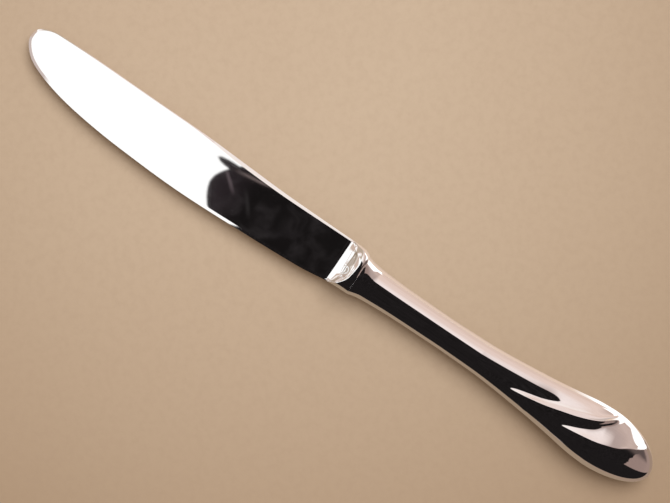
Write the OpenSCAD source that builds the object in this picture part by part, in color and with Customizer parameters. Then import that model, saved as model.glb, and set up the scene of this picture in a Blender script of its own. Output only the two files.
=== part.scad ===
/* [Blade] */
// Length of the blade from its tip to the heel line
blade_len = 121; // [100:1:140]
// Width of the blade where it is broadest
blade_w = 19.8; // [17:0.2:22]
// Thickness of the spine at the heel
spine_t = 2.2; // [1.8:0.1:3]
// Thickness of the spine at the tip
tip_t = 1.3; // [1.1:0.1:1.7]
// How much thinner the flats are at the cutting side than at the spine
wedge_t = 0.7; // [0.3:0.1:0.8]
// Thickness left at the ground cutting edge
edge_t = 0.2; // [0.1:0.05:0.3]
// Width of the ground band along the cutting edge and round the tip
edge_bevel = 0.9; // [0.4:0.1:1.4]
// Greatest width of the eased bevel along the spine
spine_bevel = 1.2; // [0.6:0.1:1.6]
// How far that bevel falls at the spine
spine_ease = 0.45; // [0.2:0.05:0.6]

/* [Bolster and tang] */
// Length of the bolster, from the heel line to the seam of the handle
bolster_len = 7.8; // [6:0.2:10]
// How far the crest of the bolster stands above the mouth of the handle
crest_h = 0.3; // [0.1:0.05:0.6]
// Length of the tang inside the handle
tang_len = 74; // [50:1:84]
// Width of the tang at the bolster
tang_w = 6; // [4:0.2:7]
// Width of the tang at its end
tang_end_w = 3.4; // [2:0.2:4]
// Thickness of the tang
tang_t = 2.6; // [2:0.1:3]

/* [Handle] */
// Length of the handle, from the seam to its end
handle_len = 111.4; // [100:1:125]
// Width of the handle at the seam
mouth_w = 13.6; // [12:0.2:15]
// Thickness of the handle at the seam
mouth_t = 9.2; // [8:0.2:10]
// Width of the handle at its narrowest
neck_w = 10.3; // [9:0.1:11.8]
// Thickness of the handle at its narrowest
neck_t = 6.8; // [6:0.2:7.8]
// Distance from the seam to the narrowest place
neck_at = 34; // [26:1:42]
// Width of the bulb at the end of the handle
bulb_w = 20; // [17:0.2:23]
// Thickness of the bulb
bulb_t = 11.8; // [10:0.2:14]
// Distance from the end of the handle to the broadest place of the bulb
bulb_back = 20; // [16:0.5:24]
// How far the end of the handle leans toward the cutting side
end_lean = 0.8; // [0:0.1:1.2]
// Wall of the pressed half shells
wall = 0.8; // [0.6:0.05:1]
// How square the section is at the bolster and the mouth: 2 is an ellipse
mouth_power = 3.5; // [2:0.1:4]

/* [Flutes] */
// Depth of the flutes between the ridges
flute_depth = 1.1; // [0.6:0.1:1.4]
// Distance from the end of the handle to the start of the first ridge
ridge_1_start = 65.4; // [60:0.2:70]
// Distance from the end of the handle to where the first ridge meets the rim
ridge_1_end = 16; // [12:0.5:20]
// Distance from the end of the handle to the start of the second ridge
ridge_2_start = 46.7; // [42:0.1:50]
// Distance from the end of the handle to where the second ridge meets the rim
ridge_2_end = 4.6; // [3:0.2:8]

/* [Lying] */
// How many degrees the knife rolls toward its spine side as it settles on its side
rest_roll = 0.24; // [0:0.02:3]

/* [Hidden] */

// Each pair below is a share of a run and a share of a size, and a smooth curve passes through them.
// The spine and the cutting edge: root of the share of blade_len from the tip, share of blade_w
spine_shares = [[0, 0.264], [0.09, 0.415], [0.16, 0.48], [0.25, 0.53], [0.4, 0.536],
                [0.6, 0.519], [0.72, 0.507], [0.82, 0.467], [0.9, 0.433], [1, 0.418]];
edge_shares = [[0, 0.264], [0.1, 0.11], [0.2, -0.06], [0.3, -0.19], [0.45, -0.345],
               [0.6, -0.443], [0.75, -0.49], [0.85, -0.468], [0.96, -0.415], [1, -0.356]];
// The spine bevel: the same root of a share, share of spine_bevel
spine_bevel_shares = [[0, 0.7], [0.1, 0.5], [0.2, 0.2], [0.68, 0.2], [0.82, 1], [1, 0.5]];
// The flare at the mouth: share of neck_at, share of what the mouth is wider than the neck, then what it is thicker
flare_shares = [[0, 1], [0.08, 0.64], [0.2, 0.38], [0.5, 0.1], [1, 0]];
flare_t_shares = [[0, 1], [0.03, 0.79], [0.08, 0.58], [0.2, 0.33], [0.5, 0.09], [1, 0]];
// Share of neck_at over which the squarish section of the mouth becomes an ellipse
square_share = 0.15;
// The swell to the bulb: share of the run from neck to bulb, share of what the bulb is larger
swell_shares = [[0, 0], [0.22, 0.055], [0.36, 0.162], [0.5, 0.32], [0.64, 0.495], [0.78, 0.72],
                [0.92, 0.948], [1, 1]];
// The two ridges: share of the ridge's run along the handle, share of the half width there
ridge_shares = [[[0, -0.78], [0.2, -0.57], [0.35, -0.37], [0.5, -0.166], [0.62, 0.03], [0.74, 0.21],
                 [0.85, 0.426], [0.93, 0.706], [1, 1]],
                [[0, -0.94], [0.18, -0.69], [0.33, -0.44], [0.48, -0.3], [0.63, -0.18], [0.78, 0.037],
                 [0.86, 0.29], [0.93, 0.545], [1, 1]]];
// The depth of each flute: the same share of its ridge's run, share of flute_depth
depth_shares = [[[0, 0], [0.2, 0.355], [0.4, 0.71], [0.55, 1], [0.7, 0.955], [0.85, 0.85], [1, 0.74]],
                [[0, 0], [0.15, 0.235], [0.3, 0.47], [0.45, 0.7], [0.6, 0.89], [0.8, 0.75], [1, 0.6]]];
// Where each flute's floor lies: the same share of the run, share of the flute's width above its ridge
floor_shares = [[[0, 0.185], [0.3, 0.185], [0.45, 0.204], [0.6, 0.312], [0.8, 0.408], [1, 0.5]],
                [[0, 0.187], [0.15, 0.324], [0.3, 0.462], [0.45, 0.598], [0.65, 0.654], [1, 0.71]]];
// Share of the half width below which a narrowing flute fades out
fade_share = 0.35;
// The front of the bolster's crest: share of the half width, share of bolster_len
crest_shares = [[-1, 0.1], [-0.83, 0.44], [-0.35, 0.75], [0.33, 0.85], [0.8, 0.78], [1, 0.7]];
// Share of the bolster's rise that begins at once at the heel line
heel_rise_share = 0.14;
// How late the rest of the rise comes, by share of the half width: 1 is in the middle of the cove
lag_shares = [[-1, 2.6], [-0.6, 2.1], [0, 1.25], [1, 1]];
// How square the bolster's section is at the blade
square_power = 8;
// How much smaller than the blade the bolster's section starts, and the share of bolster_len by which it has grown
root_sink = 0.03;
root_grow = 0.08;
// Share of blade_len that the blade's root reaches into the bolster, and how much narrower it is there
root_share = 0.008;
root_inset = wall / 2;

// Facets along and across
blade_steps = 28;
bolster_steps = 14;
section_steps = 28;
shell_steps = [8, 8, 24, 14];
// What every cut runs past the solid it cuts
over = 1;

half_mouth = mouth_w / 2;
half_neck = neck_w / 2;
half_bulb = bulb_w / 2;
bulb_at = handle_len - bulb_back;
ridge_from = [handle_len - ridge_1_start, handle_len - ridge_2_start];
ridge_to = [handle_len - ridge_1_end, handle_len - ridge_2_end];

function mix(a, b, t) = a + (b - a) * t;
function within(t) = max(0, min(1, t));
function ease(t) = let (s = within(t)) s * s * (3 - 2 * s);

// A smooth curve through a table of pairs that never swings past its points
function rise(pairs, k) = (pairs[k + 1].y - pairs[k].y) / (pairs[k + 1].x - pairs[k].x);
function slope(pairs, k) =
    k == 0 ? rise(pairs, 0) :
    k == len(pairs) - 1 ? rise(pairs, k - 1) :
    let (a = rise(pairs, k - 1), b = rise(pairs, k)) a * b <= 0 ? 0 : 2 * a * b / (a + b);
function piece(pairs, x, k = 0) = k < len(pairs) - 2 && x > pairs[k + 1].x ? piece(pairs, x, k + 1) : k;
function curve(pairs, x) =
    let (
        k = piece(pairs, x),
        run = pairs[k + 1].x - pairs[k].x,
        t = within((x - pairs[k].x) / run)
    )
    pairs[k].y * (1 + 2 * t) * (1 - t) * (1 - t) + slope(pairs, k) * run * t * (1 - t) * (1 - t)
    + pairs[k + 1].y * t * t * (3 - 2 * t) + slope(pairs, k + 1) * run * t * t * (t - 1);

// The handle's half width or half thickness at a distance from the seam
function swell(x, mouth, neck, bulb, flares) =
    x < neck_at ? mix(neck, mouth, curve(flares, x / neck_at)) :
    x < bulb_at ? mix(neck, bulb, curve(swell_shares, (x - neck_at) / (bulb_at - neck_at))) :
    bulb * sqrt(max(0, 1 - pow((x - bulb_at) / bulb_back, 2)));
function half_w(x) = swell(x, half_mouth, half_neck, half_bulb, flare_shares);
function half_t(x) = swell(x, mouth_t / 2, neck_t / 2, bulb_t / 2, flare_t_shares);
function lean(x) = -end_lean * pow(within((x - bulb_at) / bulb_back), 3);

// A ridge's place across the handle, as a share of the half width: 1 at the rim on the spine side
function along(k, x) = within((x - ridge_from[k]) / (ridge_to[k] - ridge_from[k]));
function ridge(k, x) = curve(ridge_shares[k], along(k, x));
function has_ridge(k, x) = x > ridge_from[k] && x < ridge_to[k];

// The flute on the spine side of a ridge: from the ridge down to its floor, and up to the next ridge or the rim
function hollow(s, low) =
    s <= 0 || s >= 1 ? 0 :
    s < low ? 1 - pow(1 - s / low, 2) : 1 - pow((s - low) / (1 - low), 2);
function flute(k, x, c) =
    !has_ridge(k, x) ? 0 :
    let (
        t = along(k, x),
        top = k == 0 ? 1 : ridge(k - 1, x),
        width = top - ridge(k, x)
    )
    width <= 0 ? 0 :
    flute_depth * curve(depth_shares[k], t) * ease(width / fade_share)
    * hollow((c - ridge(k, x)) / width, curve(floor_shares[k], t));

// Height of a section at a share of its half width, from squarish at the mouth to an ellipse along the handle
function section_power(x) = mix(mouth_power, 2, ease(x / (square_share * neck_at)));
function rounded(c, power) = pow(within(1 - pow(abs(c), power)), 1 / power);

// A point of the handle's skin: distance from the seam, angle round the section, wall taken off
function skin(x, angle, off) =
    let (
        w = max(0, half_w(x) - off),
        t = max(0, half_t(x) - off),
        c = cos(angle)
    )
    [bolster_len + x - off * within((x - bulb_at) / bulb_back), lean(x) + w * c,
     rounded(c, section_power(x)) * max(t - flute(0, x, c) - flute(1, x, c), 0)];

// Distances from the seam at which sections are taken, closer together where the flutes run
function shell_stations(n) = concat(
    [for (i = [0 : n[0] - 1]) neck_at * pow(i / n[0], 1.6)],
    [for (i = [0 : n[1] - 1]) mix(neck_at, ridge_from[0], i / n[1])],
    [for (i = [0 : n[2] - 1]) mix(ridge_from[0], bulb_at, i / n[2])],
    [for (i = [0 : n[3] - 1]) bulb_at + bulb_back * sin(90 * i / n[3])]);

// Angles of a section from the spine-side rim to the cutting-side rim, the nearest ones moved onto the ridges
function ridge_angle(k, x) = acos(ridge(k, x));
function near(k, x, j, n) = has_ridge(k, x) && round(ridge_angle(k, x) * n / 180) == j;
function section_angles(x, n) = [for (j = [0 : n])
    j == 0 || j == n ? 180 * j / n :
    near(0, x, j, n) ? ridge_angle(0, x) :
    near(1, x, j, n) ? ridge_angle(1, x) :
    180 * j / n];

outer_stations = shell_stations(shell_steps);
inner_stations = shell_stations(shell_steps / 2);
outer_rows = [for (x = outer_stations) [for (a = section_angles(x, section_steps)) skin(x, a, 0)]];
inner_rows = [for (x = inner_stations) [for (j = [0 : section_steps / 2]) skin(x, 360 * j / section_steps, wall)]];
outer_end = skin(handle_len, 90, 0);
inner_end = skin(handle_len, 90, wall);

function flat(rows) = [for (row = rows) each row];

// Triangles between rows of points, split the way the ridges run, and a fan to a closing point
function grid_faces(rows, n, from, inward) = [
    for (i = [0 : rows - 2], j = [0 : n - 1])
        let (a = from + i * (n + 1) + j, b = a + n + 1)
        each inward ? [[a, a + 1, b], [a + 1, b + 1, b]] : [[a, b, a + 1], [a + 1, b, b + 1]]];
function fan_faces(first, n, tip, inward) = [
    for (j = [0 : n - 1]) inward ? [first + j, first + j + 1, tip] : [first + j, tip, first + j + 1]];
// A strip between an outer line and an inner line that has a point for every second one of the outer
function strip_faces(outer, inner, turned) = [
    for (k = [0 : len(inner) - 2])
        let (a = outer[2 * k], b = outer[2 * k + 1], c = outer[2 * k + 2], d = inner[k], e = inner[k + 1])
        each turned ? [[a, d, b], [b, d, e], [b, e, c]] : [[a, b, d], [b, e, d], [b, c, e]]];

// One pressed half shell, its rim in the plane of the seam: outside, inside, rim and mouth
module half_shell() {
    n = section_steps;
    m = section_steps / 2;
    rows = len(outer_rows);
    inner = len(inner_rows);
    start = rows * (n + 1);
    tip = start + inner * (m + 1);
    function outer_line(j) = [for (i = [0 : rows]) i < rows ? i * (n + 1) + j : tip];
    function inner_line(j) = [for (i = [0 : inner]) i < inner ? start + i * (m + 1) + j : tip + 1];
    polyhedron(
        points = concat(flat(outer_rows), flat(inner_rows), [outer_end, inner_end]),
        faces = concat(
            grid_faces(rows, n, 0, false), fan_faces((rows - 1) * (n + 1), n, tip, false),
            grid_faces(inner, m, start, true), fan_faces(start + (inner - 1) * (m + 1), m, tip + 1, true),
            strip_faces(outer_line(0), inner_line(0), true), strip_faces(outer_line(n), inner_line(m), false),
            strip_faces([for (j = [0 : n]) j], [for (j = [0 : m]) start + j], false)));
}

// A closed ring at each section, from the spine side over the top and back underneath
function mirrored(p) = [p.x, p.y, -p.z];
function ring_of(row) = concat(row, [for (j = [len(row) - 2 : -1 : 1]) mirrored(row[j])]);
// A flat end across a ring, from its first point
function end_faces(first, ring, turned) = [
    for (j = [0 : ring / 2 - 1])
        let (a = first + j, b = a + 1, c = first + ring - j - 1, d = c + 1)
        each j == 0 ? [turned ? [a, c, b] : [a, b, c]] :
            c == b ? [turned ? [a, d, b] : [a, b, d]] :
            turned ? [[a, d, b], [b, d, c]] : [[a, b, d], [b, c, d]]];
// The skin between rings, the lower half split as the mirror image of the upper
function ring_faces(rows, ring) = [
    for (i = [0 : rows - 2], j = [0 : ring - 1])
        let (a = i * ring + j, b = i * ring + (j + 1) % ring, c = a + ring, d = b + ring)
        each j < ring / 2 ? [[a, c, b], [b, c, d]] : [[a, c, d], [a, d, b]]];

// The cement fills the two shells: their inner skins as one closed body
module cement_core() {
    ring = section_steps;
    rows = len(inner_rows);
    last_ring = (rows - 1) * ring;
    polyhedron(
        points = concat(flat([for (row = inner_rows) ring_of(row)]), [inner_end]),
        faces = concat(
            ring_faces(rows, ring), end_faces(0, ring, false),
            [for (j = [0 : ring - 1]) [last_ring + j, rows * ring, last_ring + (j + 1) % ring]]));
}

// The blade's outline from the tip along the spine to the root, and back along the cutting edge
function blade_x(t) = blade_len * (t * t - 1);
function spine_y(t) = blade_w * curve(spine_shares, t);
function edge_y(t) = blade_w * curve(edge_shares, t);
root_x = blade_len * root_share;
steps = [for (i = [0 : blade_steps]) i / blade_steps];
spine_side = concat([for (t = steps) [blade_x(t), spine_y(t)]], [[root_x, spine_y(1) - root_inset]]);
edge_side = concat([for (t = steps) if (t > 0) [blade_x(t), edge_y(t)]], [[root_x, edge_y(1) + root_inset]]);
outline = concat(spine_side, [for (i = [len(edge_side) - 1 : -1 : 0]) edge_side[i]]);

// Half the thickness of the blade on its flat: a plane that falls toward the tip and the cutting side
crown_y = blade_w * spine_shares[4].y;
fall_x = (spine_t - tip_t) / 2 / blade_len;
fall_y = wedge_t / 2 / blade_w;
flat_at_axis = spine_t / 2 - fall_y * crown_y;
function flat_z(p) = flat_at_axis + fall_x * p.x + fall_y * p.y;

// Width of the bevel inside each outline point, and half the thickness left at the outline
is_spine = [for (i = [0 : len(outline) - 1]) i < len(spine_side)];
function root_of(p) = sqrt(within(1 + p.x / blade_len));
function bevel_w(i) =
    is_spine[i] ? spine_bevel * curve(spine_bevel_shares, root_of(outline[i])) : edge_bevel;
function rim_z(i) =
    let (fallen = flat_z(outline[i]) - spine_ease * bevel_w(i) / spine_bevel)
    is_spine[i] ? mix(edge_t / 2, fallen, ease(root_of(outline[i]) / spine_bevel_shares[1].x)) : edge_t / 2;
function inward(i) =
    let (
        n = len(outline),
        s = len(spine_side),
        d = outline[i == s - 1 ? i : (i + 1) % n] - outline[i == s ? i : (i + n - 1) % n]
    )
    [d.y, -d.x] / norm(d);
// The bevel runs on past the flat, which is then cut as one plane
past_share = 0.5;
function bevel_top(i) =
    let (
        p = outline[i] + bevel_w(i) * inward(i),
        low = [outline[i].x, outline[i].y, rim_z(i)],
        high = [p.x, p.y, flat_z(p)]
    )
    high + past_share * (high - low);

module bevelled_plate() {
    n = len(outline);
    s = len(spine_side);
    q = 3 * n;
    tops = [for (i = [0 : n - 1]) bevel_top(i)];
    rims = [for (i = [0 : n - 1]) [outline[i].x, outline[i].y, rim_z(i)]];
    polyhedron(
        points = concat(tops, rims, [for (p = rims) mirrored(p)], [for (p = tops) mirrored(p)]),
        faces = concat(
            [for (b = [0 : 2], i = [0 : n - 1])
                let (a = b * n + i, c = b * n + (i + 1) % n)
                each [[a, a + n, c], [c, a + n, c + n]]],
            [[0, 1, n - 1], [q, q + n - 1, q + 1]],
            [for (i = [1 : s - 2])
                let (j = n - i, k = j - 1)
                each [[i, i + 1, j], [j, i + 1, k], [q + i, q + j, q + i + 1], [q + j, q + k, q + i + 1]]]));
}

// The space within one of the blade's flats, 1 above and -1 below, bounded by the plane of the flat
module within_flat(side) {
    turn = asin(fall_y / sqrt(1 + fall_x * fall_x + fall_y * fall_y));
    deep = 3 * spine_t;
    translate([0, 0, side * flat_at_axis]) rotate([side * turn, -side * atan(fall_x), 0])
        translate([-blade_len - over, -blade_w, side > 0 ? -deep : 0])
            cube([blade_len + bolster_len, 2 * blade_w, deep]);
}

module blade_plate() {
    intersection() {
        bevelled_plate();
        within_flat(1);
        within_flat(-1);
    }
}

// The bolster: square at the blade, a cove that rises to a crest, then the section of the handle's mouth
function bolster_top(t) = mix(half_mouth, spine_y(1), 1 - pow(within(t), 5));
function bolster_low(t) = mix(-half_mouth, edge_y(1), pow(1 - within(t), 2));
function cove(s, lag) =
    let (t = pow(within(s), lag))
    mix(t * t * t * (t * (6 * t - 15) + 10), 1 - pow(1 - within(s), 2), heel_rise_share);
function bolster_point(t, angle) =
    let (
        c = cos(angle),
        high = bolster_top(t),
        low = bolster_low(t),
        grown = mix(1 - root_sink, 1, ease(t / root_grow)),
        y = mix(low, high, (1 + c * grown) / 2),
        x = bolster_len * t,
        front = curve(crest_shares, c),
        blade_z = grown * flat_z([0, y]) * rounded(c, square_power),
        after = within((t - front) / (1 - front)),
        crest = crest_h * (1 - after * after),
        z = mix(blade_z, (mouth_t / 2 + crest) * rounded(c, mouth_power), cove(t / front, curve(lag_shares, c)))
    )
    [x, y, t < 0 ? blade_z * (1 + t) : z];
bolster_stations = concat([-root_share * 4], [for (i = [0 : bolster_steps]) i / bolster_steps]);
bolster_across = section_steps / 2 + 4;
bolster_rows = [for (t = bolster_stations)
    [for (j = [0 : bolster_across]) bolster_point(t, 180 * j / bolster_across)]];

module bolster() {
    m = bolster_across;
    rows = len(bolster_stations);
    rings = [for (row = bolster_rows) ring_of(row)];
    polyhedron(
        points = flat(rings),
        faces = concat(
            ring_faces(rows, 2 * m), end_faces(0, 2 * m, false), end_faces((rows - 1) * 2 * m, 2 * m, true)));
}

// The tang: a flat bar that tapers to a round end, from inside the bolster into the handle
module tang() {
    start = bolster_len / 2;
    finish = bolster_len + tang_len;
    end_r = tang_end_w / 2;
    linear_extrude(tang_t, center = true) {
        polygon([[start, tang_w / 2], [start, -tang_w / 2], [finish - end_r, -end_r], [finish - end_r, end_r]]);
        translate([finish - end_r, 0]) circle(end_r, $fn = 48);
    }
}

// The knife lies on its side, on the crest of the bolster and the bulb, rolled a little toward its spine side
function rolled(p) =
    [p.x, p.y * cos(rest_roll) + p.z * sin(rest_roll), p.z * cos(rest_roll) - p.y * sin(rest_roll)];
function leant(p) =
    [p.x * cos(rest_lean) - p.z * sin(rest_lean), p.y, p.x * sin(rest_lean) + p.z * cos(rest_lean)];
function lowest(rows) = [for (row = rows) [row[0].x, max([for (p = row) -rolled(mirrored(p)).z])]];
bolster_low_points = lowest(bolster_rows);
handle_low_points = lowest(outer_rows);
deepest = max([for (p = bolster_low_points) p.y]);
foot = [for (p = bolster_low_points) if (p.y == deepest) p][0];
rest_lean = max([for (p = handle_low_points) if (p.x > bolster_len + neck_at) atan((p.y - foot.y) / (p.x - foot.x))]);
rims = [for (i = [0 : len(outline) - 1]) [outline[i].x, outline[i].y, rim_z(i)]];
laid_points = [for (p = concat(rims, flat(bolster_rows), flat(outer_rows), [outer_end]))
    each [leant(rolled(p)), leant(rolled(mirrored(p)))]];
xs = [for (p = laid_points) p.x];
ys = [for (p = laid_points) p.y];
rest_z = -min([for (p = laid_points) p.z]);

module laid_down() {
    translate([-(min(xs) + max(xs)) / 2, -(min(ys) + max(ys)) / 2, rest_z])
        rotate([-rest_roll, -rest_lean, 0]) children();
}

module blade() {
    color("silver") laid_down() {
        blade_plate();
        bolster();
        tang();
    }
}

module upper_shell() {
    color("gainsboro") laid_down() half_shell();
}

module lower_shell() {
    color("lightgray") laid_down() mirror([0, 0, 1]) half_shell();
}

module tang_cement() {
    color("tan") laid_down() difference() {
        cement_core();
        tang();
    }
}

blade();
upper_shell();
lower_shell();
tang_cement();
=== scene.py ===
"""Table knife: its polished pieces, the sheet that it lies on and the studio that its steel mirrors.

The knife is worked out in millimetres about its own middle plane, with the sizes and formulas of the part's
source and finer facets, and is then laid down in the CAD frame, in metres."""
import math

import bmesh
import bpy
import numpy as np
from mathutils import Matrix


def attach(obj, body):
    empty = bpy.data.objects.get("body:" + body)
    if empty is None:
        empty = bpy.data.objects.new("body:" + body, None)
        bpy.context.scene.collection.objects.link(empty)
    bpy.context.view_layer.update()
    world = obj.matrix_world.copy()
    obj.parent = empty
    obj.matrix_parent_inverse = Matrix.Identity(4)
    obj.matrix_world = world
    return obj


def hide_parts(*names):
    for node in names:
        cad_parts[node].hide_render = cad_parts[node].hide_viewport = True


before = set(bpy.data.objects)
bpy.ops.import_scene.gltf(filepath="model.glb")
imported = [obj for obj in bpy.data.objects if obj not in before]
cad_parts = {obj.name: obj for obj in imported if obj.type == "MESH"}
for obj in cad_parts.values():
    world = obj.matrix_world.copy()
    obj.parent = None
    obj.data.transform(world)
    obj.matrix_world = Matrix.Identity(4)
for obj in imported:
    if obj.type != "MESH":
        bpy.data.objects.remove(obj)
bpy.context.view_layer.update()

# Sizes of the knife in millimetres, as in the part's source
BLADE_LEN, BLADE_W = 121.0, 19.8
SPINE_T, TIP_T, WEDGE_T, EDGE_T = 2.2, 1.3, 0.7, 0.2
EDGE_BEVEL, SPINE_BEVEL, SPINE_EASE = 0.9, 1.2, 0.45
BOLSTER_LEN, CREST_H = 7.8, 0.3
TANG_LEN, TANG_W, TANG_END_W, TANG_T = 74.0, 6.0, 3.4, 2.6
HANDLE_LEN, WALL = 111.4, 0.8
MOUTH_W, MOUTH_T, MOUTH_POWER = 13.6, 9.2, 3.5
NECK_W, NECK_T, NECK_AT = 10.3, 6.8, 34.0
BULB_W, BULB_T, BULB_BACK, END_LEAN = 20.0, 11.8, 20.0, 0.8
FLUTE_DEPTH = 1.1
RIDGE_START, RIDGE_END = (65.4, 46.7), (16.0, 4.6)
REST_ROLL = 0.24

# Each pair below is a share of a run and a share of a size, and a smooth curve passes through them.
# The spine and the cutting edge: root of the share of the blade's length from the tip, share of its width
SPINE_SHARES = [(0, 0.264), (0.09, 0.415), (0.16, 0.48), (0.25, 0.53), (0.4, 0.536), (0.6, 0.519),
                (0.72, 0.507), (0.82, 0.467), (0.9, 0.433), (1, 0.418)]
EDGE_SHARES = [(0, 0.264), (0.1, 0.11), (0.2, -0.06), (0.3, -0.19), (0.45, -0.345), (0.6, -0.443),
               (0.75, -0.49), (0.85, -0.468), (0.96, -0.415), (1, -0.356)]
# The spine's bevel: the same root of a share, share of its greatest width
SPINE_BEVEL_SHARES = [(0, 0.7), (0.1, 0.5), (0.2, 0.2), (0.68, 0.2), (0.82, 1), (1, 0.5)]
# The flare at the mouth: share of the run to the neck, share of what the mouth is wider, then the same for its
# thickness
FLARE_SHARES = [(0, 1), (0.08, 0.64), (0.2, 0.38), (0.5, 0.1), (1, 0)]
FLARE_T_SHARES = [(0, 1), (0.03, 0.79), (0.08, 0.58), (0.2, 0.33), (0.5, 0.09), (1, 0)]
# Share of the run to the neck over which the squarish section of the mouth becomes an ellipse
SQUARE_SHARE = 0.15
# The swell to the bulb: share of the run from neck to bulb, share of what the bulb is larger
SWELL_SHARES = [(0, 0), (0.22, 0.055), (0.36, 0.162), (0.5, 0.32), (0.64, 0.495), (0.78, 0.72),
                (0.92, 0.948), (1, 1)]
# The two ridges: share of the ridge's run along the handle, share of the half width there
RIDGE_SHARES = [[(0, -0.78), (0.2, -0.57), (0.35, -0.37), (0.5, -0.166), (0.62, 0.03), (0.74, 0.21),
                 (0.85, 0.426), (0.93, 0.706), (1, 1)],
                [(0, -0.94), (0.18, -0.69), (0.33, -0.44), (0.48, -0.3), (0.63, -0.18), (0.78, 0.037),
                 (0.86, 0.29), (0.93, 0.545), (1, 1)]]
# The depth of each flute: the same share of its ridge's run, share of the greatest depth
DEPTH_SHARES = [[(0, 0), (0.2, 0.355), (0.4, 0.71), (0.55, 1), (0.7, 0.955), (0.85, 0.85), (1, 0.74)],
                [(0, 0), (0.15, 0.235), (0.3, 0.47), (0.45, 0.7), (0.6, 0.89), (0.8, 0.75), (1, 0.6)]]
# Where each flute's floor lies: the same share of the run, share of the flute's width above its ridge
FLOOR_SHARES = [[(0, 0.185), (0.3, 0.185), (0.45, 0.204), (0.6, 0.312), (0.8, 0.408), (1, 0.5)],
                [(0, 0.187), (0.15, 0.324), (0.3, 0.462), (0.45, 0.598), (0.65, 0.654), (1, 0.71)]]
# Share of the half width below which a narrowing flute fades out
FADE_SHARE = 0.35
# The front of the bolster's crest: share of the half width, share of the bolster's length
CREST_SHARES = [(-1, 0.1), (-0.83, 0.44), (-0.35, 0.75), (0.33, 0.85), (0.8, 0.78), (1, 0.7)]
# Share of the bolster's rise that begins at once at the heel
HEEL_RISE_SHARE = 0.14
# How late the rest of the rise comes, by share of the half width: 1 is in the middle of the cove
LAG_SHARES = [(-1, 2.6), (-0.6, 2.1), (0, 1.25), (1, 1)]

BULB_AT = HANDLE_LEN - BULB_BACK
RIDGE_FROM = [HANDLE_LEN - start for start in RIDGE_START]
RIDGE_TO = [HANDLE_LEN - end for end in RIDGE_END]
# The blade's flat is a plane: how it falls along and across the blade, and where it stands at the axis
FALL_X = (SPINE_T - TIP_T) / 2 / BLADE_LEN
FALL_Y = WEDGE_T / 2 / BLADE_W
CROWN_Y = BLADE_W * max(share for place, share in SPINE_SHARES)
FLAT_AT_AXIS = SPINE_T / 2 - FALL_Y * CROWN_Y

# The rounding of a ridge in millimetres, the greatest share of its flute's width that it may take, and the
# least half width that it is worked out for
RIDGE_ROUND, ROUND_MOST, ROUND_HALF_W = 0.10, 0.25, 2
# The rounded lip of the shells at the mouth: its run along the handle and its depth
LIP_RUN, LIP_DEPTH = 0.05, 0.03
# Share of the outline's root over which the spine's bevel takes over from the ground band at the tip
TIP_SHARE = 0.05
# How late the bolster narrows to the mouth on the spine side, and how early on the cutting side, as powers
SPINE_NARROWS, EDGE_NARROWS = 5, 2

# Facets: rows along each piece, and columns across it
BLADE_STEPS, BOLSTER_STEPS, TANG_STEPS, TANG_END_STEPS = 170, 56, 6, 8
BAND_FLAT_SPINE_COLUMNS = (15, 69, 12)
MOUTH_STEPS, NECK_STEPS, FLUTE_STEPS, END_STEPS = 20, 50, 125, 62
BETWEEN_RIDGES_COLUMNS = (44, 64, 60)
INSIDE_COLUMNS = 24
# The strip at the mouth whose rows are crowded, and how far before the first ridge its finer rows begin
MOUTH_STRIP, FLUTE_LEAD = 0.6, 2
# Least angle between the two ridges and the rim, in radians, and how strongly columns crowd at them
RIDGES_APART, CROWDING = 0.05, 0.75
# Edges sharper than these degrees stay crisp
FORGING_CREASE, SHELL_CREASE = 16, 30
# Distances in metres within which points are one, and below which a face is a sliver
SAME_POINT, SLIVER = 2e-7, 1e-8
# A millimetre in metres, and the least length that anything is divided by
MM = 0.001
TINY = 1e-6
# Turns a point of the shown side into its twin underneath
UNDER = np.array([1, 1, -1.0])


def within(t):
    return np.clip(t, 0.0, 1.0)


def mix(a, b, t):
    return a + (b - a) * t


def ease(t):
    """The smooth step: 3 t squared less 2 t cubed, held between 0 and 1."""
    s = within(t)
    return s * s * (3 - 2 * s)


def curve(pairs, x):
    """A smooth line through pairs of place and value: cubic pieces whose slopes at a point are the harmonic
    mean of the chords either side, or none where the chords turn back, so it never swings past a value."""
    place, value = np.asarray(pairs, float).T
    run = np.diff(place)
    chord = np.diff(value) / run
    before, after = chord[:-1], chord[1:]
    onward = before * after > 0
    slope = np.empty(len(place))
    slope[0], slope[-1] = chord[0], chord[-1]
    slope[1:-1] = np.where(onward, 2 * before * after / np.where(onward, before + after, 1), 0)
    x = np.asarray(x, float)
    k = np.clip(np.searchsorted(place, x) - 1, 0, len(run) - 1)
    t = within((x - place[k]) / run[k])
    return (value[k] * (1 + 2 * t) * (1 - t) ** 2 + slope[k] * run[k] * t * (1 - t) ** 2
            + value[k + 1] * t * t * (3 - 2 * t) + slope[k + 1] * run[k] * t * t * (t - 1))


def side_by_side(parts):
    """Parts of rows, each of which begins with the column that the one before it ends with, as whole rows."""
    return np.concatenate([part[:, :-1] for part in parts[:-1]] + [parts[-1]], axis=1)


def rounded(across, power):
    """Height of a section at a share of its half width: 1 less the share raised to the power, and the root of
    that power taken of the rest."""
    return within(1 - np.abs(across) ** power) ** (1 / power)


# The handle. x is the distance from its seam, and across is a share of its half width: 1 at the rim on the
# spine side, and -1 at the rim on the cutting side
def swell(x, mouth, neck, bulb, flares):
    """Half a size along the handle: a flare from the mouth to the neck, a swell to the bulb, and a quarter of
    an ellipse."""
    flare = mix(neck, mouth, curve(flares, x / NECK_AT))
    body = mix(neck, bulb, curve(SWELL_SHARES, (x - NECK_AT) / (BULB_AT - NECK_AT)))
    end = bulb * np.sqrt(np.clip(1 - ((x - BULB_AT) / BULB_BACK) ** 2, 0, None))
    return np.where(x < NECK_AT, flare, np.where(x < BULB_AT, body, end))


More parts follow.
